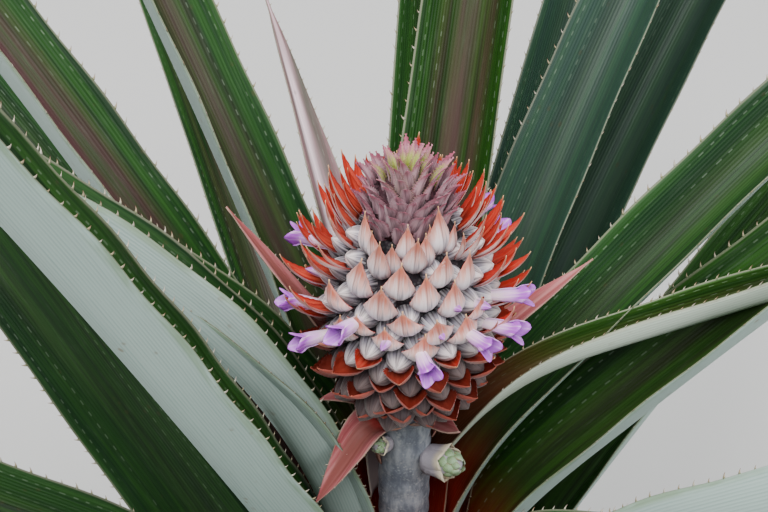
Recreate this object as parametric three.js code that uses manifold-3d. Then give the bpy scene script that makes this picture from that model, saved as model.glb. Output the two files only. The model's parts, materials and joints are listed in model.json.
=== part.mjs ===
// A pineapple plant in bloom: a short club-shaped stem, a rosette of channelled strap leaves on a spiral,
// and a scape with its bracts, two young slips, the flowering fruit and the small crown.
// Millimetres, +Z up. The origin is on the ground, at the middle of the flat cut under the stem.
// Azimuth 0 is +X, 90 is +Y, and the photographed side faces -Y.
import * as THREE from "three";
import { mergeVertices } from "three/addons/utils/BufferGeometryUtils.js";
import Module from "manifold-3d";

const wasm = await Module();
wasm.setup();

// Driving dimensions
const STEM_SHOULDER = 140;
const STEM_TOP = 290;
const STEM_RADIUS_FOOT = 25;
const STEM_RADIUS_SHOULDER = 34;
const ROOT_FLARE = 33;
const SCAPE_RADIUS = 12;
const FRUIT_CENTRE = 442;
const FRUIT_RADIUS = 33;
const FRUIT_HALF_BELOW = 45;
const FRUIT_HALF_ABOVE = 60;
const FRUIT_BASE = 397;
const CROWN_BASE = 497;
const CLEARANCE = 0.4;
const CUT_GAP = 0.8;

// The spiral of the rosette, counted from the youngest leaf, where the stem narrows to the scape
const LEAF_COUNT = 34;
const LEAF_DIVERGENCE = -137.5;
const FIRST_LEAF_AZIMUTH = 89;
const FIRST_LEAF_FOOT = 292;
const YOUNG_LEAVES = 5;
const YOUNG_LEAF_SPACING = 11;
const LEAF_SPACING = 6;
const LEAF_LENGTH_YOUNG = 660;
const LEAF_LENGTH_FULL = 780;
const LEAF_LENGTH_OLD = 620;
const LEAF_WIDTH = 54;
const LEAF_FOLD = 50;
const LONG_LEAF = 300;
const THINNEST_BRACT = 1.4;

const { degToRad, lerp, smoothstep, clamp } = THREE.MathUtils;

function material(color, roughness) {
  return new THREE.MeshStandardMaterial({ color, roughness, metalness: 0 });
}
const BARK = material(0x6b5138, 0.9);
const BLADE = material(0x3c6338, 0.5);
const SCAPE_SKIN = material(0xa9a8a0, 0.7);
const RED_BRACT = material(0xc2625a, 0.6);
const FRUIT_SKIN = material(0xd2a9a0, 0.8);
const CROWN_SKIN = material(0xa77782, 0.8);
const SLIP_SKIN = material(0x9dbb93, 0.6);

// The stem's radius, from the root flare over a narrow foot to the swollen top and the scape
function stemRadius(z) {
  const flare = (ROOT_FLARE - STEM_RADIUS_FOOT) * Math.exp(-z / 14);
  const club = lerp(STEM_RADIUS_FOOT, STEM_RADIUS_SHOULDER, smoothstep(z, 20, STEM_SHOULDER));
  return lerp(club + flare, SCAPE_RADIUS, smoothstep(z, STEM_SHOULDER, STEM_TOP));
}

// What each leaf does by the rule, before the pose that the photograph shows is laid over it
function ruledLeaf(order) {
  const age = order / (LEAF_COUNT - 1);
  const grown = smoothstep(age, 0, 0.35);
  const old = smoothstep(age, 0.65, 1);
  const young = Math.min(order, YOUNG_LEAVES);
  return {
    azimuth: FIRST_LEAF_AZIMUTH + order * LEAF_DIVERGENCE,
    foot: FIRST_LEAF_FOOT - young * YOUNG_LEAF_SPACING - (order - young) * LEAF_SPACING,
    lean: lerp(82, 62, age),
    rise: lerp(52, 14, age ** 1.1),
    knee: 0.15,
    droop: lerp(28, 34, age),
    sweep: 5 * Math.sin(order * 2.4),
    roll: 5 * Math.sin(order * 1.7 + 1),
    length: lerp(LEAF_LENGTH_YOUNG, LEAF_LENGTH_FULL, grown) - (LEAF_LENGTH_FULL - LEAF_LENGTH_OLD) * old,
    width: LEAF_WIDTH,
    fold: LEAF_FOLD,
  };
}

// The leaves that the photograph shows, by their place in the spiral. turn is the shift in azimuth.
const POSED_LEAVES = {
  0: { turn: -13, lean: 70, rise: 58, width: 56 },
  1: { lean: 50, rise: 34 },
  2: { turn: 9, lean: 80, rise: 42, knee: 0.19 },
  3: { turn: -12, lean: 84, rise: 44, knee: 0.1, sweep: 0 },
  4: { turn: 4, lean: 68, rise: 37 },
  5: { turn: 12, rise: 58, width: 50, roll: -20 },
  6: { turn: -23, lean: 59, rise: 50, roll: 45, fold: 67 },
  7: { turn: -16.5, lean: 84, rise: 43.7, knee: 0.259, droop: 20.4, sweep: -7, roll: -20.9, width: 55,
    fold: 69.4 },
  8: { turn: -12, rise: 50, sweep: -12 },
  9: { rise: 27 },
  10: { turn: 2, rise: 58, roll: -12 },
  11: { turn: -7.6, lean: 86, rise: 48.4, knee: 0.112, sweep: -2.4, roll: 2.3, width: 61 },
  12: { rise: 20 },
  13: { turn: -16, rise: 47 },
  14: { turn: -6, rise: 20 },
  15: { turn: 25.2, lean: 87.2, rise: 69.6, knee: 0.102, droop: 10.4, sweep: 12.9, roll: 9.9, width: 64,
    fold: 62.6 },
  16: { turn: 6, rise: 46, sweep: -8 },
  18: { turn: 8, rise: 40 },
  19: { rise: 24 },
  21: { turn: -12, rise: 42 },
  23: { turn: 15, rise: 34 },
  24: { turn: 2, lean: 74, rise: 48.5, knee: 0.134, roll: 12.5 },
  26: { turn: -3 },
  29: { turn: 10 },
  31: { turn: 7, lean: 62.6, rise: 54.7, knee: 0.204, droop: 34.8, sweep: -23.5, roll: 45, width: 53,
    fold: 28 },
};

function rosetteLeaf(order) {
  const leaf = { turn: 0, ...ruledLeaf(order), ...POSED_LEAVES[order] };
  leaf.azimuth += leaf.turn;
  leaf.radius = stemRadius(leaf.foot) + CLEARANCE;
  return { ...leaf, thick: leaf.length / 100, outline: strapOutline, stations: 10 };
}

// The leaves and bracts of the scape, below and behind the fruit. Heights in mm, angles in degrees.
const SCAPE_LEAVES = {
  scape_leaf_right: { azimuth: 9.5, foot: 350, lean: 58.3, rise: 15.3, knee: 0.095, droop: 38,
    length: 583, width: 28, sweep: 8.1, roll: 6.8, fold: 80 },
  scape_leaf_back: { azimuth: 113.8, foot: 325, lean: 73, rise: 52.5, knee: 0.155, droop: 25.6,
    length: 239, width: 36, sweep: -3.4, roll: -10 },
  bract_left: { azimuth: 160.5, foot: 356, lean: 79.5, rise: 54.5, knee: 0.294, length: 143, width: 24 },
  bract_right: { azimuth: 29.5, foot: 370, lean: 57, rise: 24, knee: 0.387, length: 107, width: 24 },
  bract_behind: { azimuth: 75, foot: 350, lean: 70, rise: 55, knee: 0.3, length: 110, width: 22 },
  bract_hanging: { azimuth: 220.5, foot: 385, lean: 21.5, rise: -43.5, knee: 0.182, droop: -5,
    length: 49, width: 24, roll: 13.5, fold: 46 },
  bract_curled: { azimuth: 183, foot: 384, lean: 50, rise: 23, knee: 0.327, droop: 51, length: 30,
    width: 18 },
  bract_under: { azimuth: -45, foot: 388, lean: 20, rise: 10, knee: 0.3, droop: -40, length: 22,
    width: 20 },
};

function scapeLeaf(name) {
  const leaf = { droop: 0, sweep: 0, roll: 0, fold: 42, ...SCAPE_LEAVES[name] };
  const long = leaf.length > LONG_LEAF;
  leaf.radius = stemRadius(leaf.foot) + CLEARANCE;
  leaf.thick = Math.max(THINNEST_BRACT, leaf.length / 100);
  return { ...leaf, outline: long ? strapOutline : bractOutline, stations: long ? 8 : 5 };
}

// The middle line of a leaf. It leaves its foot at the angle lean, bends at the knee to the angle rise,
// and then sags by droop and swings by sweep towards the tip. Angles are in degrees.
const SPINE_STEPS = 120;
function leafSpine(leaf) {
  const points = [];
  const step = leaf.length / SPINE_STEPS;
  const azimuthAt = (u) => degToRad(leaf.azimuth + leaf.sweep * u ** 1.6);
  const riseAt = (u) => {
    const bent = smoothstep(u, 0, 2 * leaf.knee);
    const sagging = clamp((u - leaf.knee) / (1 - leaf.knee), 0, 1);
    return degToRad(lerp(leaf.lean, leaf.rise, bent) - leaf.droop * sagging ** 1.8);
  };
  const directionAt = (u) => {
    const azimuth = azimuthAt(u);
    const rise = riseAt(u);
    return new THREE.Vector3(
      Math.cos(rise) * Math.cos(azimuth), Math.cos(rise) * Math.sin(azimuth), Math.sin(rise));
  };
  const start = azimuthAt(0);
  const at = new THREE.Vector3(leaf.radius * Math.cos(start), leaf.radius * Math.sin(start), leaf.foot);
  for (let i = 0; i <= SPINE_STEPS; i++) {
    const u = i / SPINE_STEPS;
    const along = directionAt(u);
    const azimuth = azimuthAt(u);
    const side = new THREE.Vector3(-Math.sin(azimuth), Math.cos(azimuth), 0);
    const inward = new THREE.Vector3().crossVectors(along, side);
    points.push({ u, at: at.clone(), along, side, inward });
    at.addScaledVector(directionAt(u + 0.5 / SPINE_STEPS), step);
  }
  return points;
}

// Half the flat width as a share of the largest: a strap with a slight waist and a long point, or a bract
function strapOutline(u) {
  const blade = lerp(0.8, 1, smoothstep(u, 0.04, 0.25));
  const taper = clamp((u - 0.28) / 0.72, 0, 1);
  return blade * Math.max(0.02, (1 - taper ** 1.9) ** 0.9);
}

function bractOutline(u) {
  return Math.max(0.04, 1 - u ** 1.4);
}

// Where the upper face lies at v, from -1 at one margin to 1 at the other: out to the side and up out of
// the rib's plane. At the foot the face wraps round the stem, and further out it opens to a channel whose
// walls rise by the angle fold from a rounded rib.
const FACE_STEPS = 8;
function facePoint(v, half, clasp, fold, opened) {
  const point = { out: 0, up: 0, tilt: 0 };
  for (let i = 0; i < FACE_STEPS; i++) {
    const w = (Math.abs(v) * (i + 0.5)) / FACE_STEPS;
    const wall = fold * Math.min(1, w / RIB_SHARE);
    point.tilt = lerp(clasp * w, wall, opened);
    point.out += (Math.cos(point.tilt) * half * Math.abs(v)) / FACE_STEPS;
    point.up += (Math.sin(point.tilt) * half * Math.abs(v)) / FACE_STEPS;
  }
  point.out *= Math.sign(v);
  point.tilt *= Math.sign(v);
  return point;
}

// A leaf's solid: a crescent section, carried along the spine
const RIB_SHARE = 0.4;
const WIDEST_CLASP = 1.1;
const ACROSS = [-1, -0.4, 0, 0.4, 1];
function leafGeometry(leaf, grown = 0) {
  const spine = leafSpine(leaf);
  const below = (grown > 0 ? ACROSS : ACROSS.slice(1, -1)).slice().reverse();
  const rings = [];
  for (let i = 0; i <= leaf.stations; i++) {
    const { u, at, along, side, inward } = spine[Math.round((i / leaf.stations) ** 1.2 * SPINE_STEPS)];
    const half = (leaf.width / 2) * leaf.outline(u);
    const opened = smoothstep(u, 0.02, 0.16);
    const fold = degToRad(leaf.fold) * lerp(1, 0.5, smoothstep(u, 0.45, 1));
    const roll = degToRad(leaf.roll) * smoothstep(u, 0.05, 0.4);
    const across = side.clone().multiplyScalar(Math.cos(roll)).addScaledVector(inward, -Math.sin(roll));
    const above = inward.clone().multiplyScalar(Math.cos(roll)).addScaledVector(side, Math.sin(roll));
    const rib = leaf.thick * lerp(0.6, 1, smoothstep(u, 0, 0.25)) * lerp(1, 0.25, smoothstep(u, 0.3, 1));
    if (i === 0 || i === leaf.stations) {
      at.addScaledVector(along, i === 0 ? -grown : grown);
    }
    const place = (v, depth) => {
      const face = facePoint(v, half, Math.min(half / leaf.radius, WIDEST_CLASP), fold, opened);
      return at.clone()
        .addScaledVector(across, face.out + depth * Math.sin(face.tilt))
        .addScaledVector(above, face.up - depth * Math.cos(face.tilt));
    };
    const ring = ACROSS.map((v) => place(v * (1 + grown / half), -grown));
    for (const v of below) {
      ring.push(place(v * (1 + grown / half), rib * (1 - v * v) + grown));
    }
    rings.push(ring);
  }
  return skinRings(rings);
}

// A closed skin over rings of the same count, capped by fans
function skinRings(rings) {
  const count = rings[0].length;
  const positions = rings.flat().flatMap((p) => [p.x, p.y, p.z]);
  const faces = [];
  for (let i = 0; i + 1 < rings.length; i++) {
    for (let j = 0; j < count; j++) {
      const a = i * count + j;
      const b = i * count + ((j + 1) % count);
      faces.push(a, b + count, b, a, a + count, b + count);
    }
  }
  const last = (rings.length - 1) * count;
  for (let j = 1; j + 1 < count; j++) {
    faces.push(0, j, j + 1, last, last + j + 1, last + j);
  }
  const geometry = new THREE.BufferGeometry();
  geometry.setAttribute("position", new THREE.Float32BufferAttribute(positions, 3));
  geometry.setIndex(faces);
  return geometry;
}

// Solids for joining and cutting
function toSolid(geometry) {
  const merged = mergeVertices(new THREE.BufferGeometry()
    .setAttribute("position", geometry.getAttribute("position").clone())
    .setIndex(geometry.index), 1e-3);
  return new wasm.Manifold(new wasm.Mesh({
    numProp: 3,
    vertProperties: merged.attributes.position.array,
    triVerts: new Uint32Array(merged.index.array),
  }));
}

function toGeometry(solid) {
  const mesh = solid.getMesh();
  const geometry = new THREE.BufferGeometry();
  geometry.setAttribute("position", new THREE.BufferAttribute(mesh.vertProperties, 3));
  geometry.setIndex(new THREE.BufferAttribute(mesh.triVerts, 1));
  return geometry;
}

function largestPiece(solid) {
  return solid.decompose().reduce((best, piece) => (piece.volume() > best.volume() ? piece : best));
}

// A solid of revolution about the plant's axis, from radius and height pairs that start and end on it
function turned(profile, segments) {
  const points = profile.map(([r, z]) => new THREE.Vector2(r, z));
  const geometry = new THREE.LatheGeometry(points, segments);
  geometry.rotateX(Math.PI / 2);
  return geometry;
}

// The smallest convex body round some points
function hull(points) {
  return wasm.Manifold.hull(points.map((p) => [p.x, p.y, p.z]));
}

// A frame at a point of the plant: x outward along the azimuth, z along the axis, then leaned outward
function placed(azimuth, radius, height, lean) {
  return new THREE.Matrix4().makeRotationZ(azimuth)
    .multiply(new THREE.Matrix4().makeTranslation(radius, 0, height))
    .multiply(new THREE.Matrix4().makeRotationY(lean));
}

// The stem and the scape in one piece
function stemProfile(grown) {
  const profile = [[0, 0]];
  for (let z = 0; z < STEM_TOP; z += 20) {
    profile.push([stemRadius(z) + grown, z]);
  }
  profile.push([SCAPE_RADIUS + grown, STEM_TOP], [SCAPE_RADIUS + grown, FRUIT_BASE - 12]);
  profile.push([SCAPE_RADIUS + 2 + grown, FRUIT_BASE - CLEARANCE], [0, FRUIT_BASE - CLEARANCE]);
  return profile;
}

// The fruit: a rounded cone with a full foot, its fruitlets on the same spiral. Each is a low boss with a bract
// under it, longer and steeper further up; on the front of the upper half the bracts hug the bosses.
const FRUITLETS = 150;
const FRUITLET_BOTTOM = 403;
const FRUITLET_TOP = 497;
const FRUITLET_SIZE = 6.2;
const FRUITLET_STAND = 7;
const FRUITLET_DEPTH = 6;
const BRACT_SEAT = 5.5;
const BRACT_TIPS = [
  { upTo: 0.3, out: 10.7, up: 5.7 },
  { upTo: 0.55, out: 12.7, up: 7.4 },
  { upTo: 0.75, out: 18.1, up: 18.1, frontOut: 7, frontUp: 15.4 },
  { upTo: 0.9, out: 15.6, up: 20.7, frontOut: 5, frontUp: 20.6 },
  { upTo: 1, out: 11.5, up: 22.6, frontOut: 2.1, frontUp: 22.6 },
];
const FRONT_FACING = 0.57;
function fruitRadius(z) {
  const below = ((FRUIT_CENTRE - z) / FRUIT_HALF_BELOW) ** 3.2;
  const above = ((z - FRUIT_CENTRE) / FRUIT_HALF_ABOVE) ** 2.4;
  return FRUIT_RADIUS * Math.sqrt(Math.max(0.02, 1 - (z < FRUIT_CENTRE ? below : above)));
}

// Where a fruitlet sits: its azimuth, its height, and how far the fruit's surface leans back there
function fruitletSeat(order) {
  const share = (order + 0.5) / FRUITLETS;
  const z = lerp(FRUITLET_BOTTOM, FRUITLET_TOP, share);
  const slope = Math.atan((fruitRadius(z - 2) - fruitRadius(z + 2)) / 4);
  return { share, z, slope, azimuth: degToRad(order * LEAF_DIVERGENCE) };
}

// The tip of a bract, from its seat at the fruitlet's lower edge
function bractTip({ share, z, slope, azimuth }) {
  const tip = BRACT_TIPS.find((bract) => share <= bract.upTo);
  const front = tip.frontOut !== undefined && -Math.sin(azimuth) > FRONT_FACING;
  const out = front ? tip.frontOut : tip.out;
  const up = front ? tip.frontUp : tip.up;
  const seat = new THREE.Vector3(0, 0, -BRACT_SEAT).applyMatrix4(placed(azimuth, fruitRadius(z), z, -slope));
  return seat.add(new THREE.Vector3(Math.cos(azimuth) * out, Math.sin(azimuth) * out, up));
}

function fruitlet(order) {
  const seat = fruitletSeat(order);
  const frame = placed(seat.azimuth, fruitRadius(seat.z), seat.z, -seat.slope);
  const size = FRUITLET_SIZE * lerp(1, 0.8, smoothstep(seat.share, 0.6, 1));
  const foot = [[size, 0], [-size, 0], [0, size], [0, -size]].map(([y, z]) => [-FRUITLET_DEPTH, y, z]);
  const corners = [...foot, [FRUITLET_STAND, 0, -size * 0.3]];
  const points = corners.map((corner) => new THREE.Vector3(...corner).applyMatrix4(frame));
  return hull([...points, bractTip(seat)]);
}

// Open flowers on the belt of fruitlets that the photograph shows in bloom
const FLOWERING = [77, 84, 85, 87, 92, 94, 97, 101, 103, 114, 83, 91, 96, 99, 104, 107];
const FLOWER_LENGTH = 22;
const FLOWER_MOUTH = 3.8;
const FLOWER_FOOT = 2.4;
const FLOWER_LIFT = 12;
function flower(order) {
  const { azimuth, z } = fruitletSeat(order);
  const tube = new THREE.CylinderGeometry(FLOWER_MOUTH, FLOWER_FOOT, FLOWER_LENGTH, 5).toNonIndexed();
  tube.rotateZ(-Math.PI / 2);
  tube.translate(FLOWER_LENGTH / 2, 0, 0);
  tube.applyMatrix4(placed(azimuth, fruitRadius(z), z, degToRad(-FLOWER_LIFT)));
  return toSolid(mergeVertices(tube.deleteAttribute("normal").deleteAttribute("uv")));
}

function fruitSolid() {
  const profile = [[0, FRUIT_BASE]];
  for (let i = 0; i <= 6; i++) {
    const z = lerp(FRUIT_BASE, CROWN_BASE + 2, i / 6);
    profile.push([Math.max(fruitRadius(z) - 1, SCAPE_RADIUS + 4), z]);
  }
  profile.push([0, CROWN_BASE + 2]);
  const parts = [toSolid(turned(profile, 16))];
  for (let order = 0; order < FRUITLETS; order++) {
    parts.push(fruitlet(order));
  }
  for (const order of FLOWERING) {
    parts.push(flower(order));
  }
  return wasm.Manifold.union(parts);
}

// The space kept for the crown on top of the fruit
function crownRoom(grown) {
  const profile = [[0, CROWN_BASE - grown], [18 + grown, CROWN_BASE - grown], [19 + grown, 506 - grown]];
  return toSolid(turned([...profile, [27 + grown, 518 - grown], [27 + grown, 560], [0, 560]], 16));
}

// The crown: broad scales close to its foot, then a rosette of pointed leaves, steeper towards its middle
const CROWN_LEAVES = 30;
const CROWN_SCALES = 11;
const CROWN_TOP = 534;
const CROWN_RADIUS = 16;
const CROWN_LEAF_LENGTH = 17;
const CROWN_LEAF_WIDTH = 8;
function crownSolid() {
  const core = [[0, CROWN_BASE - 2], [CROWN_RADIUS, CROWN_BASE - 2], [CROWN_RADIUS - 1, CROWN_BASE + 10]];
  const parts = [toSolid(turned([...core, [10, 514], [3, 518], [0, 518]], 12))];
  for (let order = 0; order < CROWN_LEAVES; order++) {
    const share = Math.max(0, (order - CROWN_SCALES) / (CROWN_LEAVES - 1 - CROWN_SCALES));
    const low = order < CROWN_SCALES;
    const z = low ? CROWN_BASE + order * 0.8 : lerp(507, CROWN_TOP - CROWN_LEAF_LENGTH, share);
    const lean = low ? 10 : lerp(38, 6, share);
    const radius = lerp(CROWN_RADIUS - 2, 3, share);
    const frame = placed(degToRad(order * LEAF_DIVERGENCE), radius, z, degToRad(lean));
    const half = (CROWN_LEAF_WIDTH / 2) * lerp(1.1, 0.8, share);
    const long = CROWN_LEAF_LENGTH * (low ? 0.8 : 1);
    const corners = [[0, half, 0], [0, -half, 0], [-2, 0, 0], [1.6, 0, long * 0.4], [0, 0, long]];
    parts.push(hull(corners.map((corner) => new THREE.Vector3(...corner).applyMatrix4(frame))));
  }
  return wasm.Manifold.union(parts);
}

// A slip: a young shoot on a short stalk in its sheath, with a round bud folded in scales
function slipSolid({ azimuth, height, radius, size, lean }) {
  const frame = placed(degToRad(azimuth), radius, height, degToRad(lean));
  const body = turned([[0, 0], [size * 1.2, 0], [size * 1.1, size * 0.6], [size * 1.15, size * 1.3],
    [size * 1.25, size * 1.9], [size, size * 2.6], [size * 0.5, size * 3], [0, size * 3.1]], 12);
  const parts = [toSolid(body.toNonIndexed().applyMatrix4(frame))];
  for (let order = 0; order < 5; order++) {
    const turn = new THREE.Matrix4().makeRotationZ(degToRad(order * LEAF_DIVERGENCE));
    const scale = frame.clone().multiply(turn);
    const low = size * (1.1 + 0.15 * order);
    const corners = [[size * 0.7, size * 0.6, low], [size * 0.7, -size * 0.6, low],
      [size * 1.12, 0, low + size * 0.7], [size * 0.3, 0, low + size * 1.2], [0, 0, low]];
    parts.push(hull(corners.map((corner) => new THREE.Vector3(...corner).applyMatrix4(scale))));
  }
  return wasm.Manifold.union(parts);
}
const SLIPS = {
  slip_right: { azimuth: -35, height: 361, radius: 13.5, size: 6, lean: 68 },
  slip_left: { azimuth: 233, height: 375, radius: 13.5, size: 3.2, lean: 60 },
};

const plant = new THREE.Group();
function addMesh(name, geometry, finish) {
  const mesh = new THREE.Mesh(geometry, finish);
  mesh.name = name;
  plant.add(mesh);
}

addMesh("stem", turned(stemProfile(0), 20), BARK);
addMesh("crown", toGeometry(largestPiece(crownSolid().intersect(crownRoom(0)))), CROWN_SKIN);

// Each piece is cut back where it would run into the stem or into a piece made before it
const inTheWay = [toSolid(turned(stemProfile(CUT_GAP), 20))];
function addCut(name, solid, grown, finish) {
  const left = inTheWay.reduce((rest, other) => rest.subtract(other), solid);
  inTheWay.push(grown);
  addMesh(name, toGeometry(largestPiece(left.simplify(0.02))), finish);
}
for (const name of Object.keys(SLIPS)) {
  const slip = SLIPS[name];
  addCut(name, slipSolid(slip), slipSolid({ ...slip, size: slip.size + CUT_GAP }), SLIP_SKIN);
}
for (const name of Object.keys(SCAPE_LEAVES)) {
  const leaf = scapeLeaf(name);
  addCut(name, toSolid(leafGeometry(leaf)), toSolid(leafGeometry(leaf, CUT_GAP)), RED_BRACT);
}
const fruit = fruitSolid().subtract(crownRoom(CLEARANCE));
addCut("fruit", fruit, fruit, FRUIT_SKIN);
for (let order = 0; order < LEAF_COUNT; order++) {
  const leaf = rosetteLeaf(order);
  const name = "leaf_" + String(order + 1).padStart(2, "0");
  addCut(name, toSolid(leafGeometry(leaf)), toSolid(leafGeometry(leaf, CUT_GAP)), BLADE);
}

export default plant;
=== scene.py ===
"""A pineapple plant in bloom. Metres, +Z up, the origin on the ground at the middle of the stem's flat cut.

The leaves, the fruitlets, the crown and the slips follow the same spiral rules as the solids, carried to
finer detail. The photographed side faces -Y.
"""
import json
import math
import random

import bpy
import numpy as np
from mathutils import Matrix, Vector

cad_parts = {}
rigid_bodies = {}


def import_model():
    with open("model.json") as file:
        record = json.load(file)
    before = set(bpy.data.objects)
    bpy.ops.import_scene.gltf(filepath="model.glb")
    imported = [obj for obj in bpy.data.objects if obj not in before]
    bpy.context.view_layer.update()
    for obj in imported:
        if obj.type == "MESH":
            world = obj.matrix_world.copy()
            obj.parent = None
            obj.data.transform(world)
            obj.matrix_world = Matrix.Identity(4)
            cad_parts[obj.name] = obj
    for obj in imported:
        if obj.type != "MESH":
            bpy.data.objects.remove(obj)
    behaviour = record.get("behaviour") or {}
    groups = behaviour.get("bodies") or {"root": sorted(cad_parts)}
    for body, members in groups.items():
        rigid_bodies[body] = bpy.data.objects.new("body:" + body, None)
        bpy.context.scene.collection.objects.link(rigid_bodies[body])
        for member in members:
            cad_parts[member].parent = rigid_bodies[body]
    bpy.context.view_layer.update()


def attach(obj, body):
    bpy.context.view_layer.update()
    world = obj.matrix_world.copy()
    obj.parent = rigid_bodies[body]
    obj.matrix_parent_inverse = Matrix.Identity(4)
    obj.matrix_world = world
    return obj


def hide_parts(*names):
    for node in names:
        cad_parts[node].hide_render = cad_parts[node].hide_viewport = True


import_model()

# Driving sizes, in metres, the same as the solids'
STEM_SHOULDER = 0.140
STEM_TOP = 0.290
STEM_RADIUS_FOOT = 0.025
STEM_RADIUS_SHOULDER = 0.034
ROOT_FLARE = 0.033
FLARE_HEIGHT = 0.014
STEM_RING_DEPTH = 0.0006
SCAPE_RADIUS = 0.012
FRUIT_CENTRE = 0.442
FRUIT_RADIUS = 0.033
FRUIT_HALF_BELOW = 0.045
FRUIT_HALF_ABOVE = 0.060
FRUIT_BASE = 0.397
CROWN_BASE = 0.497
CLEARANCE = 0.0004

LEAF_COUNT = 34
LEAF_DIVERGENCE = -137.5
FIRST_LEAF_AZIMUTH = 89
FIRST_LEAF_FOOT = 0.292
YOUNG_LEAVES = 5
YOUNG_LEAF_SPACING = 0.011
LEAF_SPACING = 0.006
LEAF_LENGTH_YOUNG = 0.660
LEAF_LENGTH_FULL = 0.780
LEAF_LENGTH_OLD = 0.620
LEAF_WIDTH = 0.054
LEAF_FOLD = 50
LONG_LEAF = 0.300
THINNEST_BRACT = 0.0014
RIB_SHARE = 0.4
WIDEST_CLASP = 1.1
BLADE_SHARE = 0.36
EDGE_THICKNESS = 0.0005
RIPPLE_DEPTH = 0.0006
RIPPLE_LENGTH = 0.011

SPINE_SPACING = 0.0078
SPINE_LENGTH = 0.0020
SCAPE_SPINE_SPACING = 0.005
SCAPE_SPINE_LENGTH = 0.0026

FRUITLETS = 150
FRUITLET_BOTTOM = 0.403
FRUITLET_TOP = 0.497
BUD_WIDTH = 0.0122
BUD_HEIGHT = 0.0074
BRACT_SEAT = 0.0058
FLOWERING = [77, 84, 85, 87, 92, 94, 97, 101, 103, 114, 83, 91, 96, 99, 104, 107]
FLOWER_LENGTH = 0.0200
FLOWER_LIFT = 12
PETAL_HALF_WIDTH = 0.004
VIOLET_BUDS = [90, 95, 100, 105, 113, 86, 109, 112, 117, 120, 88, 106]

# The kinds of bract, each for the fruitlets up to a share of the fruit's height: its length, its angles above
# the level where it leaves and where it ends, the share of its length that bends, its width, and how far its
# margins bend in. From the third kind up they hug the buds on the front and stand out elsewhere.
BRACT_KINDS_UP_TO = [0.30, 0.55, 0.75, 0.90, 1.00]
LOW_BRACTS = [
    dict(length=0.0125, start=4, end=52, width=0.0165, cup=84),
    dict(length=0.0155, start=0, end=60, width=0.0150, cup=78),
]
SIDE_BRACTS = LOW_BRACTS + [
    dict(length=0.027, start=14, end=76, width=0.0080, cup=72),
    dict(length=0.027, start=26, end=80, width=0.0074, cup=70),
    dict(length=0.026, start=42, end=84, width=0.0068, cup=68),
]
FRONT_BRACTS = LOW_BRACTS + [
    dict(length=0.0205, start=-5, end=95, bent_by=0.6, width=0.0180, cup=60),
    dict(length=0.024, start=15, end=97, bent_by=0.5, width=0.0150, cup=60),
    dict(length=0.024, start=42, end=98, bent_by=0.45, width=0.0120, cup=60),
]
FRONT_FACING = 0.57
COLLAR_BRACTS = 21

CROWN_SCALES = 64
CROWN_LEAVES = 44
OUTER_CROWN_LEAVES = 11


def lerp(a, b, share):
    return a + (b - a) * share


def smooth(x, low, high):
    share = np.clip((np.asarray(x, float) - low) / (high - low), 0.0, 1.0)
    return share * share * (3.0 - 2.0 * share)


def linear(color):
    """A screen colour, 0xRRGGBB, as the linear colour that a shader takes."""
    channels = color.to_bytes(3, "big")
    return (*[((c / 255 + 0.055) / 1.055) ** 2.4 if c > 10 else c / 3295 for c in channels], 1.0)


def spiral_angle(order):
    return math.radians(order * LEAF_DIVERGENCE)


def angles(count):
    return [2 * math.pi * k / count for k in range(count)]


def polar(angle, radius, z):
    return Vector((radius * math.cos(angle), radius * math.sin(angle), z))


def settled(thing, **values):
    for name, value in values.items():
        setattr(thing, name, value)
    return thing


# Node trees, and the effects that several materials share

class Nodes:
    """A node tree that is being filled. An input takes a value or the socket of another node."""

    def __init__(self, tree):
        self.tree = tree

    def add(self, kind, inputs=None, **settings):
        made = settled(self.tree.nodes.new(kind), **settings)
        for key, value in (inputs or {}).items():
            if isinstance(value, bpy.types.NodeSocket):
                self.tree.links.new(value, made.inputs[key])
            else:
                made.inputs[key].default_value = value
        return made

    def first(self, kind, inputs, **settings):
        return self.add(kind, inputs, **settings).outputs[0]

    def group(self, group, inputs):
        return self.add(group.bl_idname.replace("Tree", "Group"), inputs, node_tree=group).outputs

    def maths(self, operation, first, second=0.0):
        return self.first("ShaderNodeMath", {0: first, 1: second}, operation=operation)

    def times(self, first, second):
        return self.maths("MULTIPLY", first, second)

    def between(self, value, low, high):
        """0 below low, 1 above high, smooth between; falls instead where low is above high."""
        return self.first("ShaderNodeMapRange", {
            "Value": value, "From Min": min(low, high), "From Max": max(low, high),
            "To Min": float(low > high), "To Max": float(low < high)}, interpolation_type="SMOOTHSTEP")

    def mixed(self, factor, first, second):
        return self.add("ShaderNodeMix", {0: factor, 6: first, 7: second}, data_type="RGBA").outputs[2]

    def noise(self, vector, scale, detail=3.0, roughness=0.5):
        return self.add("ShaderNodeTexNoise", {
            "Vector": vector, "Scale": scale, "Detail": detail, "Roughness": roughness}).outputs["Fac"]

    def stretched(self, vector, across, along, third=1.0):
        return self.first("ShaderNodeMapping", {"Vector": vector, "Scale": (across, along, third)})

    def streaks(self, vector, across, along, detail=3.0, roughness=0.5):
        return self.noise(self.stretched(vector, across, along), 1.0, detail, roughness)

    def cells(self, vector, scale):
        return self.add("ShaderNodeTexVoronoi", {
            "Vector": vector, "Scale": scale, "Randomness": 1.0}).outputs["Distance"]

    def axis(self, vector, index):
        return self.add("ShaderNodeSeparateXYZ", {0: vector}).outputs[index]

    def attribute(self, name):
        return self.add("ShaderNodeAttribute", attribute_name=name).outputs["Fac"]


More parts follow.
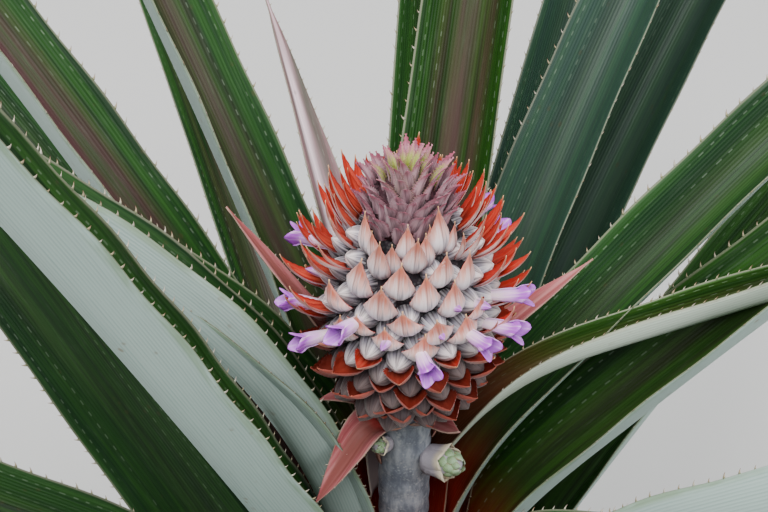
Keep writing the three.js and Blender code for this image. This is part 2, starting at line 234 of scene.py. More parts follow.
class Group(Nodes):
    """A new node group. Its inputs have a value each, or the kind of their socket where they have none."""

    def __init__(self, kind, name, inputs, outputs):
        super().__init__(bpy.data.node_groups.new(name, kind))
        sockets = self.tree.interface
        for label, value in inputs.items():
            has_value = not isinstance(value, str)
            socket = {float: "Float", int: "Int"}[type(value)] if has_value else value
            made = sockets.new_socket(name=label, in_out="INPUT", socket_type="NodeSocket" + socket)
            if has_value:
                made.default_value = value
        socket = "NodeSocketFloat" if kind == "ShaderNodeTree" else "NodeSocketGeometry"
        for label in outputs:
            sockets.new_socket(name=label, in_out="OUTPUT", socket_type=socket)
        self.given = self.tree.nodes.new("NodeGroupInput").outputs
        self.ends = self.tree.nodes.new("NodeGroupOutput").inputs

    def done(self, *results):
        for result, end in zip(results, self.ends):
            self.tree.links.new(result, end)
        return self.tree


def blade_grain_group():
    """Fine ribs along a blade, long soft streaks, and small spots, from the blade's own metric map."""
    grain = Group("ShaderNodeTree", "blade grain", {
        "Vector": "Vector", "Rib Spacing": 0.0012, "Spot Share": 0.2}, ["Ribs", "Streaks", "Spots"])
    place = grain.given["Vector"]
    turns = grain.maths("DIVIDE", grain.axis(place, 0), grain.given["Rib Spacing"])
    wave = grain.maths("SINE", grain.times(turns, 2 * math.pi))
    ribs = grain.times(grain.maths("ADD", grain.times(wave, 0.5), 0.5), grain.streaks(place, 900, 30, 2.0))
    picked = grain.between(grain.streaks(place, 60, 45), 0.52, 0.66)
    dot = grain.between(grain.cells(grain.stretched(place, 190, 120), 1.0), 0.24, 0.1)
    spots = grain.times(grain.times(dot, picked), grain.given["Spot Share"])
    return grain.done(ribs, grain.streaks(place, 260, 5, 4.0, 0.6), spots)


def bud_print_group():
    """Rows of short pale dashes parallel to the margins, where the leaf lay folded in the bud."""
    dashes = Group("ShaderNodeTree", "bud print", {
        "Vector": "Vector", "Across": 0.0, "Row": 0.5, "Row Width": 0.016, "Pitch": 0.009}, ["Dashes"])
    given = dashes.given
    place = given["Vector"]
    offset = dashes.maths("SUBTRACT", dashes.maths("ABSOLUTE", given["Across"]), given["Row"])
    share = dashes.maths("DIVIDE", dashes.maths("ABSOLUTE", offset), given["Row Width"])
    row = dashes.between(share, 1.0, 0.4)
    wobble = dashes.times(dashes.streaks(place, 20, 60), 0.9)
    turns = dashes.maths("ADD", dashes.maths("DIVIDE", dashes.axis(place, 1), given["Pitch"]), wobble)
    dash = dashes.between(dashes.maths("PINGPONG", turns, 0.5), 0.26, 0.36)
    faded = dashes.between(dashes.streaks(place, 30, 14), 0.38, 0.55)
    return dashes.done(dashes.times(dashes.times(row, dash), faded))


def scurf_group():
    """The pale scales that dust young tissue, as a mask."""
    scurf = Group("ShaderNodeTree", "scurf", {"Vector": "Vector", "Scale": 900.0, "Cover": 0.5}, ["Mask"])
    grain = scurf.between(scurf.cells(scurf.given["Vector"], scurf.given["Scale"]), 0.55, 0.2)
    limit = scurf.maths("SUBTRACT", 1.0, scurf.given["Cover"])
    patch = scurf.maths("SUBTRACT", scurf.noise(scurf.given["Vector"], 160.0), limit)
    return scurf.done(scurf.times(grain, scurf.between(scurf.maths("ADD", patch, 0.5), 0.35, 0.75)))


BLADE_GRAIN = blade_grain_group()
BUD_PRINT = bud_print_group()
SCURF = scurf_group()


# Materials

class Finish(Nodes):
    """A new material: its shader with plain values, and the colour that it has so far."""

    def __init__(self, name, roughness, specular=0.5, sheen=0.0, body=0x000000):
        self.material = bpy.data.materials.new(name)
        self.material.use_nodes = True
        super().__init__(self.material.node_tree)
        self.shader = self.tree.nodes["Principled BSDF"].inputs
        plain = {"Roughness": roughness, "Specular IOR Level": specular, "Sheen Weight": sheen}
        for label, value in plain.items():
            self.shader[label].default_value = value
        self.body = linear(body)

    def lay(self, mask, color, amount=1.0):
        """Lays a colour over the body by a mask, at most by the amount."""
        if amount < 1:
            mask = self.times(mask, amount)
        self.body = self.mixed(mask, self.body, linear(color))

    def metric_map(self):
        return self.first("ShaderNodeUVMap", {}, uv_map="metric")

    def object_place(self):
        return self.add("ShaderNodeTexCoord").outputs["Object"]

    def done(self, height=None, distance=0.0, strength=0.0):
        self.tree.links.new(self.body, self.shader["Base Color"])
        if height is not None:
            bump = self.first("ShaderNodeBump", {
                "Height": height, "Strength": strength, "Distance": distance})
            self.tree.links.new(bump, self.shader["Normal"])
        return self.material


def blade_upper(name, green, light, purple, foot_color, roughness):
    """The upper face of a leaf: green, with a bronze or purple middle, pale dashes and a pale edge."""
    leaf = Finish(name, roughness, 0.2, body=green)
    place = leaf.metric_map()
    across = leaf.attribute("across")
    middle = leaf.maths("ABSOLUTE", across)
    grain = leaf.group(BLADE_GRAIN, {"Vector": place, "Rib Spacing": 0.0016, "Spot Share": 0.35})
    leaf.lay(leaf.between(grain["Streaks"], 0.35, 0.7), light)
    leaf.lay(leaf.attribute("blue"), 0x3e5854, 0.5)
    stripe = leaf.times(leaf.between(middle, 0.72, 0.3), leaf.between(leaf.streaks(place, 90, 4), 0.3, 0.62))
    leaf.lay(leaf.times(stripe, leaf.attribute("bronze")), purple)
    leaf.lay(leaf.between(leaf.attribute("reach"), 0.165, 0.07), foot_color, 0.82)
    leaf.lay(leaf.between(leaf.streaks(place, 500, 40, 4.0, 0.7), 0.5, 0.85), 0x8c9c88, 0.1)
    for row, pitch in ((0.52, 0.0075), (0.83, 0.0065)):
        dashes = leaf.group(BUD_PRINT, {"Vector": place, "Across": across, "Row": row, "Pitch": pitch})
        leaf.lay(dashes[0], 0xa6b8a0, 0.18)
    leaf.lay(grain["Spots"], 0x483c22)
    leaf.lay(leaf.between(middle, 0.955, 0.985), 0x969680, 0.5)
    leaf.lay(leaf.attribute("shade"), 0x0a140c, 0.6)
    return leaf.done(grain["Ribs"], 0.0004, 0.4)


def blade_under(name, pale, rib, band, roughness):
    """The under face: a pale grey bloom with fine ribs, rust spots and a green band inside each margin."""
    leaf = Finish(name, roughness, 0.2, body=pale)
    place = leaf.metric_map()
    middle = leaf.maths("ABSOLUTE", leaf.attribute("across"))
    grain = leaf.group(BLADE_GRAIN, {"Vector": place, "Rib Spacing": 0.0013, "Spot Share": 0.6})
    leaf.lay(leaf.between(grain["Ribs"], 0.1, 0.62), rib)
    leaf.lay(leaf.between(leaf.streaks(place, 40, 6, 4.0), 0.35, 0.7), 0x92a6a0, 0.3)
    edge = leaf.times(leaf.between(middle, 0.86, 0.96), 0.6)
    leaf.lay(leaf.times(edge, leaf.between(leaf.streaks(place, 200, 30), 0.25, 0.6)), band)
    leaf.lay(leaf.attribute("bronze"), 0x7c5462, 0.12)
    leaf.lay(grain["Spots"], 0x7e684c)
    leaf.lay(leaf.attribute("shade"), 0x283832, 0.35)
    return leaf.done(grain["Ribs"], 0.0003, 0.25)


def spine_finish():
    spine = Finish("spine", 0.45, body=0x707854)
    reach = spine.attribute("reach")
    spine.lay(spine.between(reach, 0.1, 0.55), 0xa49276)
    spine.lay(spine.between(reach, 0.6, 1.0), 0x683426)
    spine.lay(spine.between(spine.attribute("deal"), 0.3, 0.8), 0xcecac0, 0.45)
    return spine.done()


def tissue(name, base, stops, streak, roughness, scurf=None, sheen=0.0, low=None, edge=None):
    """The finish of a small scale, sepal or petal. The base colour is its colour at the foot: dark for the
    bracts, sepals and crown scales, as painted shade where they sit in the grooves between the fruitlets,
    and their own pale or green foot for the petals, heart leaves and slips. stops are the colours that take
    over along it, each with the shares of its length where it starts and is complete. streak runs along it,
    the base colour shows again in its grooves, as painted shade where it is dark, edge lines it, and scurf
    is the cover and colour of its dust. low creeps in towards the fruit's foot, where the flowers are over."""
    part = Finish(name, roughness, 0.3, sheen, base)
    place = part.object_place()
    metric = part.metric_map()
    reach = part.attribute("reach")
    for first, last, color in stops:
        part.lay(part.between(reach, first, last), color)
    lines = part.between(part.streaks(metric, 800, 50), 0.42, 0.64)
    part.lay(part.times(lines, part.between(reach, 0.9, 0.4)), streak, 0.6)
    # Painted shade: the base colour, dark for the bracts, sepals and crown scales, laid in streaky grooves
    # along the piece.
    part.lay(part.between(part.noise(part.stretched(metric, 560, 40, 2), 1.0, 2.0), 0.5, 0.34), base, 0.7)
    if edge is not None:
        part.lay(part.between(part.maths("ABSOLUTE", part.attribute("across")), 0.6, 0.95), edge, 0.6)
    if scurf is not None:
        dust = part.group(SCURF, {"Vector": place, "Scale": 1100.0, "Cover": scurf[0]})
        part.lay(dust[0], scurf[1], 0.7)
    if low is not None:
        drift = part.maths("ADD", part.axis(place, 2), part.times(part.attribute("deal"), 0.008))
        part.lay(part.between(drift, 0.460, 0.446), low, 0.86)
    # Painted shade: dark under the margin of each sepal that lies over the next.
    part.lay(part.attribute("seam"), 0x4a3e42, 0.7)
    part.lay(part.attribute("deal"), 0x604e48, 0.12)
    return part.done(lines, 0.0002, 0.4)


def skin(name, dark, light, patch, roughness, stretch=1.0, dusted=0.5):
    """The finish of the stem, the scape and the flesh under the scales: two tones in patches, dusted pale."""
    part = Finish(name, roughness, 0.25, body=dark)
    place = part.object_place()
    spread = part.stretched(place, 1.0, 1.0, stretch)
    part.lay(part.between(part.noise(spread, patch, 5.0, 0.65), 0.38, 0.64), light)
    dust = part.group(SCURF, {"Vector": place, "Scale": 700.0, "Cover": 0.5})
    part.lay(dust[0], 0xced0cc, dusted)
    return part.done(part.noise(spread, patch * 2, 5.0), 0.001, 0.5)


DEEP_RED = 0x8c0e10
TERRACOTTA = 0xb86046
TAN = 0xcea87a
VIOLET = 0xac4ec8
LEAF_UPPER = blade_upper("leaf_upper", 0x0c2a08, 0x244c12, 0x4c3032, DEEP_RED, 0.42)
LEAF_UNDER = blade_under("leaf_under", 0xa8bcb4, 0x96aca4, 0x607846, 0.6)
SCAPE_UPPER = blade_upper("scape_leaf_upper", 0x18360e, 0x36581e, 0x5c3c32, 0x54221a, 0.45)
SCAPE_UNDER = blade_under("scape_leaf_under", 0xbecab8, 0xaebaa8, 0x78745c, 0.6)
BACK_UPPER = blade_upper("back_leaf_upper", 0x48423a, 0x806064, 0xe2ccd2, 0xbeaaa8, 0.5)
BACK_UNDER = blade_under("back_leaf_under", 0xd6c8c6, 0xbca4a2, 0x966e6c, 0.6)
BRACT_UPPER = blade_upper("bract_upper", 0x924448, 0xbe7c7c, 0x6c4034, 0xb6423e, 0.5)
BRACT_UNDER = blade_under("bract_under", 0xba867a, 0xa0645e, 0xc4aa96, 0.6)
SPINE = spine_finish()
# Each tissue's first colour is its foot: for bracts, sepals and crown scales a dark painted shade between
# fruitlets.
BRACT_INNER = tissue(
    "bract_inner", 0x781e16, [(0.1, 0.4, 0xbe2216), (0.45, 0.75, 0xcc3824), (0.84, 1.0, TAN)],
    0xde684c, 0.5, low=0x74281c, edge=0xa0241a)
BRACT_OUTER = tissue(
    "bract_outer", 0x4e4a56,
    [(0.06, 0.3, 0xded4da), (0.30, 0.52, 0xe2b0a4), (0.48, 0.74, TERRACOTTA), (0.84, 1.0, TAN)],
    0xf4ecee, 0.6, scurf=(0.3, 0xf0eaee), sheen=0.2, low=0xa64234, edge=0xc4887a)
SEPAL = tissue(
    "sepal", 0x282832, [(0.2, 0.5, 0xa09aa6), (0.5, 0.85, 0xecdedc)],
    0xf6f2f4, 0.55, scurf=(0.3, 0xf4f2f4), sheen=0.2, low=0x3e1e18)
PETAL = tissue("petal", 0xf0d6de, [(0.25, 0.5, 0xd69eda), (0.5, 0.8, VIOLET)], 0xe8c8ee, 0.4)
PETAL_INNER = tissue("petal_inner", 0xdcbee2, [(0.3, 0.7, 0xba6cd2)], 0xdeb8ec, 0.4)
CROWN_SCALE = tissue(
    "crown_scale", 0x684654, [(0.1, 0.4, 0xbc96a0), (0.5, 0.9, 0x9e4a62)],
    0xd6aab4, 0.65, scurf=(0.3, 0xe0ccd4), sheen=0.2, edge=0x822e46)
CROWN_HEART = tissue(
    "crown_heart", 0x96a438, [(0.25, 0.5, 0xb0b860), (0.5, 0.8, 0xb47084)],
    0xced282, 0.6, scurf=(0.3, 0xe2d8ce), sheen=0.2, edge=0x964c60)
SLIP_SCALE = tissue(
    "slip_scale", 0x789c5c, [(0.2, 0.6, 0x9ebe96), (0.7, 0.95, 0xbeceba)],
    0xccdac4, 0.45, scurf=(0.2, 0xe0e6e0), edge=0x92402c)
SLIP_SLEEVE = tissue("slip_sleeve", 0xb0a8b2, [(0.5, 0.9, 0xecdebe)], 0xcec8ce, 0.55)
# The flesh under the fruitlets and the crown's scales is near-black: painted shade in the gaps between them.
CROWN_FLESH_PAINTED_SHADE = skin("crown_flesh", 0x341c24, 0x54323a, 220.0, 0.8, dusted=0.1)
FRUIT_FLESH_PAINTED_SHADE = skin("fruit_flesh", 0x161418, 0x342e34, 220.0, 0.8, dusted=0.1)
SCAPE_SKIN = skin("scape_skin", 0x6c727e, 0xa6aab0, 120.0, 0.65, 0.35)
BARK = skin("bark", 0x564434, 0x8c7860, 80.0, 0.85, 3.0)


# Meshes

def in_scene(name, data):
    made = bpy.data.objects.new(name, data)
    bpy.context.scene.collection.objects.link(made)
    return made


def store(mesh, label, values, kind="FLOAT", domain="POINT"):
    """Keeps a number or a vector on each point or face of a mesh."""
    data = mesh.attributes.new(label, kind, domain).data
    if kind == "FLOAT_VECTOR":
        data.foreach_set("vector", np.asarray(values, np.float32).ravel())
    else:
        data.foreach_set("value", np.asarray(values, np.float32 if kind == "FLOAT" else bool))


def smoothed(mesh):
    mesh.polygons.foreach_set("use_smooth", np.ones(len(mesh.polygons), bool))
    mesh.update()


def make_piece(name, positions, faces, materials, slots=None, fields=None, metric=None):
    """A mesh object at the origin. fields are numbers on its points; metric is its UV map in metres."""
    mesh = bpy.data.meshes.new(name)
    mesh.from_pydata([tuple(p) for p in positions], [], [tuple(f) for f in faces])
    for finish in materials:
        mesh.materials.append(finish)
    if slots is not None:
        mesh.polygons.foreach_set("material_index", np.asarray(slots, np.int32))
    for label, values in (fields or {}).items():
        store(mesh, label, values)
    if metric is not None:
        corners = np.empty(len(mesh.loops), np.int32)
        mesh.loops.foreach_get("vertex_index", corners)
        layer = mesh.uv_layers.new(name="metric")
        layer.data.foreach_set("uv", np.asarray(metric, np.float32)[corners].ravel())
    smoothed(mesh)
    return in_scene(name, mesh)


def sheet_faces(rows, cols):
    """The faces of a closed skin over two grids of points, the upper grid first. Rows run along, columns to
    the left of that. With each face comes whether it shows with the upper side."""
    count = rows * cols
    faces, upper = [], []
    for i in range(rows - 1):
        for j in range(cols - 1):
            a = i * cols + j
            faces.append((a, a + cols, a + cols + 1, a + 1))
            faces.append((count + a, count + a + 1, count + a + cols + 1, count + a + cols))
            upper += [True, False]
        for j, turn in ((0, 1), (cols - 1, -1)):
            a = i * cols + j
            faces.append((a, count + a, count + a + cols, a + cols)[::turn])
            upper.append(True)
    for i, turn in ((0, 1), (rows - 1, -1)):
        for j in range(cols - 1):
            a = i * cols + j
            faces.append((a, a + 1, count + a + 1, count + a)[::turn])
            upper.append(False)
    return faces, upper


def ring_faces(rings, around):
    """The faces of a closed skin over rings of points, between one point before them and one after them."""
    faces = []
    last = 1 + (rings - 1) * around
    for s in range(around):
        after = (s + 1) % around
        faces.append((0, 1 + after, 1 + s))
        faces.append((last + around, last + s, last + after))
        for a in range(1, last, around):
            faces.append((a + s, a + after, a + around + after, a + around + s))
    return faces


def turned_piece(name, profile, segments, finish, place=None):
    """A closed body of revolution from radius and height pairs, which start and end on the axis. place is the
    matrix that moves it from the upright."""
    points = [(0, 0, profile[0][1])]
    for radius, z in profile[1:-1]:
        points += [polar(angle, radius, z) for angle in angles(segments)]
    points.append((0, 0, profile[-1][1]))
    if place is not None:
        points = [place @ Vector(point) for point in points]
    return make_piece(name, points, ring_faces(len(profile) - 2, segments), [finish])


def swept_profile(low, high, steps, radius):
    """Radius and height pairs from low to high, closed on the axis at both ends."""
    heights = [lerp(low, high, k / steps) for k in range(steps + 1)]
    return [(0, low)] + [(radius(z), z) for z in heights] + [(0, high)]


def keep(piece, slot, *nodes):
    """The piece belongs to the plant's one body and takes the place of these solids."""
    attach(piece, "root")
    if nodes:
        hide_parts(*nodes)


def stem_radius(z):
    flare = (ROOT_FLARE - STEM_RADIUS_FOOT) * np.exp(-z / FLARE_HEIGHT)
    club = lerp(STEM_RADIUS_FOOT, STEM_RADIUS_SHOULDER, smooth(z, 0.020, STEM_SHOULDER))
    return lerp(club + flare, SCAPE_RADIUS, smooth(z, STEM_SHOULDER, STEM_TOP))


# Leaves. Lengths in metres, angles in degrees; turn is a leaf's shift in azimuth from the spiral

POSED_LEAVES = {
    0: dict(turn=-13, lean=70, rise=58, width=0.056),
    1: dict(lean=50, rise=34),
    2: dict(turn=9, lean=80, rise=42, knee=0.19),
    3: dict(turn=-12, lean=84, rise=44, knee=0.1, sweep=0),
    4: dict(turn=4, lean=68, rise=37),
    5: dict(turn=12, rise=58, width=0.050, roll=-20),
    6: dict(turn=-23, lean=59, rise=50, roll=45, fold=67),
    7: dict(turn=-16.5, lean=84, rise=43.7, knee=0.259, droop=20.4, sweep=-7, roll=-20.9, width=0.055,
            fold=69.4),
    8: dict(turn=-12, rise=50, sweep=-12),
    9: dict(rise=27),
    10: dict(turn=2, rise=58, roll=-12),
    11: dict(turn=-7.6, lean=86, rise=48.4, knee=0.112, sweep=-2.4, roll=2.3, width=0.061),
    12: dict(rise=20),
    13: dict(turn=-16, rise=47),
    14: dict(turn=-6, rise=20),
    15: dict(turn=25.2, lean=87.2, rise=69.6, knee=0.102, droop=10.4, sweep=12.9, roll=9.9, width=0.064,
             fold=62.6),
    16: dict(turn=6, rise=46, sweep=-8),
    18: dict(turn=8, rise=40),
    19: dict(rise=24),
    21: dict(turn=-12, rise=42),
    23: dict(turn=15, rise=34),
    24: dict(turn=2, lean=74, rise=48.5, knee=0.134, roll=12.5),
    26: dict(turn=-3),
    29: dict(turn=10),
    31: dict(turn=7, lean=62.6, rise=54.7, knee=0.204, droop=34.8, sweep=-23.5, roll=45, width=0.053,
             fold=28),
}

# How bronze, blue and dark the upper face is, for the leaves whose colour shows
LEAF_TINTS = {
    0: (0.7, 0.0, 0.0),
    2: (0.1, 0.1, 0.2),
    3: (0.15, 0.15, 0.1),
    5: (0.55, 0.1, 0.1),
    6: (0.2, 0.1, 0.0),
    7: (0.5, 0.1, 0.2),
    8: (0.15, 0.9, 0.25),
    10: (0.95, 0.1, 0.1),
    11: (0.2, 0.0, 0.1),
    13: (0.1, 0.1, 0.0),
    15: (0.1, 0.05, 0.1),
    16: (0.1, 0.8, 0.45),
    21: (0.1, 0.8, 0.3),
    23: (0.1, 0.1, 0.3),
    24: (0.1, 0.0, 0.2),
    31: (0.1, 0.1, 0.4),
}

SCAPE_LEAVES = {
    "scape_leaf_right": dict(azimuth=9.5, foot=0.350, lean=58.3, rise=15.3, knee=0.095, droop=38,
                             length=0.583, width=0.028, sweep=8.1, roll=6.8, fold=80),
    "scape_leaf_back": dict(azimuth=113.8, foot=0.325, lean=73, rise=52.5, knee=0.155, droop=25.6,
                            length=0.239, width=0.036, sweep=-3.4, roll=-10),
    "bract_left": dict(azimuth=160.5, foot=0.356, lean=79.5, rise=54.5, knee=0.294,
                       length=0.143, width=0.024),
    "bract_right": dict(azimuth=29.5, foot=0.370, lean=57, rise=24, knee=0.387, length=0.107, width=0.024),
    "bract_behind": dict(azimuth=75, foot=0.350, lean=70, rise=55, knee=0.3, length=0.110, width=0.022),
    "bract_hanging": dict(azimuth=220.5, foot=0.385, lean=21.5, rise=-43.5, knee=0.182, droop=-5,
                          length=0.049, width=0.024, roll=13.5, fold=46),
    "bract_curled": dict(azimuth=183, foot=0.384, lean=50, rise=23, knee=0.327, droop=51,
                         length=0.030, width=0.018),
    "bract_under": dict(azimuth=-45, foot=0.388, lean=20, rise=10, knee=0.3, droop=-40,
                        length=0.022, width=0.020),
}
SCAPE_TINTS = {"scape_leaf_right": (0.3, 0.0, 0.0), "scape_leaf_back": (1.0, 0.0, 0.0)}
BRACT_TINT = (0.7, 0.0, 0.0)


def ruled_leaf(order):
    age = order / (LEAF_COUNT - 1)
    grown = float(smooth(age, 0, 0.35))
    old = float(smooth(age, 0.65, 1))
    young = min(order, YOUNG_LEAVES)
    return dict(
        azimuth=FIRST_LEAF_AZIMUTH + order * LEAF_DIVERGENCE,
        foot=FIRST_LEAF_FOOT - young * YOUNG_LEAF_SPACING - (order - young) * LEAF_SPACING,
        lean=lerp(82, 62, age),
        rise=lerp(52, 14, age ** 1.1),
        knee=0.15,
        droop=lerp(28, 34, age),
        sweep=5 * math.sin(order * 2.4),
        roll=5 * math.sin(order * 1.7 + 1),
        length=lerp(LEAF_LENGTH_YOUNG, LEAF_LENGTH_FULL, grown) - (LEAF_LENGTH_FULL - LEAF_LENGTH_OLD) * old,
        width=LEAF_WIDTH,
        fold=LEAF_FOLD,
        turn=0,
    )


def strap_outline(u):
    blade = lerp(0.8, 1.0, smooth(u, 0.04, 0.25))
    taper = np.clip((u - 0.28) / 0.72, 0, 1)
    return blade * np.maximum(0.02, (1 - taper ** 1.9) ** 0.9)


def bract_outline(u):
    return np.maximum(0.04, 1 - u ** 1.4)


def rosette_leaf(order):
    leaf = {**ruled_leaf(order), **POSED_LEAVES.get(order, {})}
    leaf["azimuth"] += leaf["turn"]
    leaf["radius"] = float(stem_radius(leaf["foot"])) + CLEARANCE
    leaf["thick"] = leaf["length"] / 100
    leaf["outline"] = strap_outline
    dealt = random.Random(order)
    tint = (dealt.uniform(0.1, 0.9), dealt.uniform(0.0, 0.4), dealt.uniform(0.0, 0.3))
    leaf["tint"] = LEAF_TINTS.get(order, tint)
    return leaf


def scape_leaf(name):
    leaf = {"droop": 0, "sweep": 0, "roll": 0, "fold": 42, **SCAPE_LEAVES[name]}
    leaf["radius"] = float(stem_radius(leaf["foot"])) + CLEARANCE
    leaf["thick"] = max(THINNEST_BRACT, leaf["length"] / 100)
    leaf["outline"] = strap_outline if leaf["length"] > LONG_LEAF else bract_outline
    leaf["tint"] = SCAPE_TINTS.get(name, BRACT_TINT)
    return leaf


def leaf_spine(leaf, u):
    """The middle line at the shares u of its length, with the directions along it, to the side and inward."""
    steps = 480
    fine = (np.arange(steps) + 0.5) / steps

    def directions(share):
        azimuth = np.radians(leaf["azimuth"] + leaf["sweep"] * share ** 1.6)
        sagging = np.clip((share - leaf["knee"]) / (1 - leaf["knee"]), 0, 1)
        bent = smooth(share, 0, 2 * leaf["knee"])
        rise = np.radians(lerp(leaf["lean"], leaf["rise"], bent) - leaf["droop"] * sagging ** 1.8)
        along = np.stack([np.cos(rise) * np.cos(azimuth), np.cos(rise) * np.sin(azimuth), np.sin(rise)], -1)
        side = np.stack([-np.sin(azimuth), np.cos(azimuth), np.zeros_like(azimuth)], -1)
        return along, side

    start = math.radians(leaf["azimuth"])
    foot = np.array([leaf["radius"] * math.cos(start), leaf["radius"] * math.sin(start), leaf["foot"]])
    walked = np.vstack([np.zeros(3), np.cumsum(directions(fine)[0] * leaf["length"] / steps, 0)]) + foot
    at = np.stack([np.interp(u, np.arange(steps + 1) / steps, walked[:, k]) for k in range(3)], -1)
    along, side = directions(u)
    return at, along, side, np.cross(along, side)


def blade_grid(leaf, stations, half_count):
    """Upper and under faces of a leaf as grids of points: stations along, 2 * half_count + 1 across."""
    u = np.linspace(0, 1, stations) ** 1.1
    at, along, side, inward = leaf_spine(leaf, u)
    half = (leaf["width"] / 2) * leaf["outline"](u)
    opened = smooth(u, 0.02, 0.16)[:, None]
    fold = (math.radians(leaf["fold"]) * lerp(1, 0.5, smooth(u, 0.45, 1)))[:, None]
    roll = np.radians(leaf["roll"]) * smooth(u, 0.05, 0.4)
    across = side * np.cos(roll)[:, None] - inward * np.sin(roll)[:, None]
    above = inward * np.cos(roll)[:, None] + side * np.sin(roll)[:, None]

    middle = (np.arange(half_count) + 0.5) / half_count
    clasp = np.minimum(half / leaf["radius"], WIDEST_CLASP)[:, None]
    tilt = lerp(clasp * middle, fold * np.minimum(1, middle / RIB_SHARE), opened)
    zero = np.zeros((stations, 1))
    out = np.hstack([zero, np.cumsum(np.cos(tilt), 1) / half_count]) * half[:, None]
    up = np.hstack([zero, np.cumsum(np.sin(tilt), 1) / half_count]) * half[:, None]
    lean = np.hstack([zero, np.minimum(tilt[:, :-1], tilt[:, 1:]), tilt[:, -1:]])[:, :half_count + 1]
    v = np.arange(half_count + 1) / half_count
    wave = np.sin(u * leaf["length"] / RIPPLE_LENGTH + leaf["azimuth"])[:, None]
    ripple = RIPPLE_DEPTH * wave * v ** 5 * opened

    def both(left, right):
        return np.hstack([left[:, :0:-1], right])

    out = both(-out, out)
    up = both(up + ripple, up - ripple)
    lean = both(-lean, lean)
    v = np.concatenate([-v[:0:-1], v])
    rib = leaf["thick"] * BLADE_SHARE * lerp(0.6, 1, smooth(u, 0, 0.25)) * lerp(1, 0.25, smooth(u, 0.3, 1))
    depth = rib[:, None] * (1 - v ** 2) ** 0.8 + EDGE_THICKNESS

    def turned(x, y):
        return across[:, None] * x[..., None] + above[:, None] * y[..., None]

    upper = at[:, None] + turned(out, up)
    under = at[:, None] + turned(out + depth * np.sin(lean), up - depth * np.cos(lean))
    outward = turned(np.sign(v) * np.cos(lean), np.abs(np.sin(lean)))
    return u, v, upper, under, outward, along, half


def leaf_piece(name, leaf, stations, half_count, materials, margins, spine_scale=1.0):
    """A leaf as one closed skin with its own map in metres. The places on its margins join the list for the
    spines: points, their directions outward and along the leaf, and the spine's size there."""
    u, v, upper, under, outward, along, half = blade_grid(leaf, stations, half_count)
    rows, cols = upper.shape[:2]
    faces, shows_upper = sheet_faces(rows, cols)
    reach = np.tile(np.repeat(u, cols), 2)
    fields = {"across": np.tile(np.broadcast_to(v, (rows, cols)).ravel(), 2), "reach": reach}
    for label, value in zip(("bronze", "blue", "shade"), leaf["tint"]):
        fields[label] = np.full(len(reach), value)
    metric = np.stack([np.tile((v[None, :] * half[:, None]).ravel(), 2) + leaf["foot"] * 3,
                       reach * leaf["length"] + leaf["azimuth"] / 100], -1)
    made = make_piece(name, np.vstack([upper.reshape(-1, 3), under.reshape(-1, 3)]), faces, materials,
                      ~np.array(shows_upper), fields, metric)
    used = (u > 0.09) & (u < 0.985)
    size = spine_scale * lerp(1.0, 0.55, smooth(u[used], 0.5, 1.0))
    for j in (0, cols - 1):
        middle = 0.5 * (upper[used, j] + under[used, j])
        margins.append(list(zip(middle, outward[used, j], along[used], size)))
    return made


# Copies along margins and over points

COPY_INPUTS = {"Shape": "Object", "Size": 1.0, "Variation": 0.1, "Seed": 1}


def aligned_copies_group():
    """Copies of a shape on points: its x along "out", its z along "up", its size from "size"."""
    copies = Group("GeometryNodeTree", "aligned copies", {"Points": "Geometry", **COPY_INPUTS}, ["Copies"])
    given = copies.given

    def stored(name, data_type="FLOAT_VECTOR"):
        return copies.first("GeometryNodeInputNamedAttribute", {"Name": name}, data_type=data_type)

    facing = copies.first("FunctionNodeAlignRotationToVector", {"Vector": stored("out")}, axis="X")
    turned = copies.first("FunctionNodeAlignRotationToVector", {
        "Rotation": facing, "Vector": stored("up")}, axis="Z", pivot_axis="X")
    low = copies.maths("SUBTRACT", 1.0, given["Variation"])
    high = copies.maths("ADD", 1.0, given["Variation"])
    chance = copies.add("FunctionNodeRandomValue", {2: low, 3: high, 8: given["Seed"]}, data_type="FLOAT")
    size = copies.times(copies.times(given["Size"], chance.outputs[1]), stored("size", "FLOAT"))
    shape = copies.add("GeometryNodeObjectInfo", {"Object": given["Shape"]})
    placed = copies.first("GeometryNodeInstanceOnPoints", {
        "Points": given["Points"], "Instance": shape.outputs["Geometry"], "Rotation": turned, "Scale": size})
    deal = copies.add("FunctionNodeRandomValue", {2: 0.0, 3: 1.0, 8: 7}, data_type="FLOAT")
    return copies.done(copies.first("GeometryNodeStoreNamedAttribute", {
        "Geometry": placed, "Name": "deal", "Value": deal.outputs[1]}, data_type="FLOAT", domain="INSTANCE"))


ALIGNED_COPIES = aligned_copies_group()


def copies_tree(name, along_lines):
    """The tree of a modifier: points, or lines resampled at a spacing, then copies, realized and painted."""
    inputs = {"Geometry": "Geometry", **COPY_INPUTS, "Outer Finish": "Material", "Inner Finish": "Material"}
    if along_lines:
        inputs["Spacing"] = 0.009
    tree = Group("GeometryNodeTree", name, inputs, ["Geometry"])
    given = tree.given
    points = given["Geometry"]
    if along_lines:
        curve = tree.first("GeometryNodeMeshToCurve", {0: points})
        points = tree.first("GeometryNodeResampleCurve", {
            "Curve": curve, "Length": given["Spacing"]}, mode="LENGTH")
    copies = tree.group(ALIGNED_COPIES, {"Points": points, **{label: given[label] for label in COPY_INPUTS}})
    solid = tree.first("GeometryNodeRealizeInstances", {0: copies[0]})
    outer = tree.first("GeometryNodeSetMaterial", {"Geometry": solid, "Material": given["Outer Finish"]})
    inner = tree.first("GeometryNodeInputNamedAttribute", {"Name": "inner"}, data_type="BOOLEAN")
    return tree.done(tree.first("GeometryNodeSetMaterial", {
        "Geometry": outer, "Selection": inner, "Material": given["Inner Finish"]}))


SPINES_ALONG_MARGINS = copies_tree("spines along margins", True)
COPIES_ON_POINTS = copies_tree("copies on points", False)


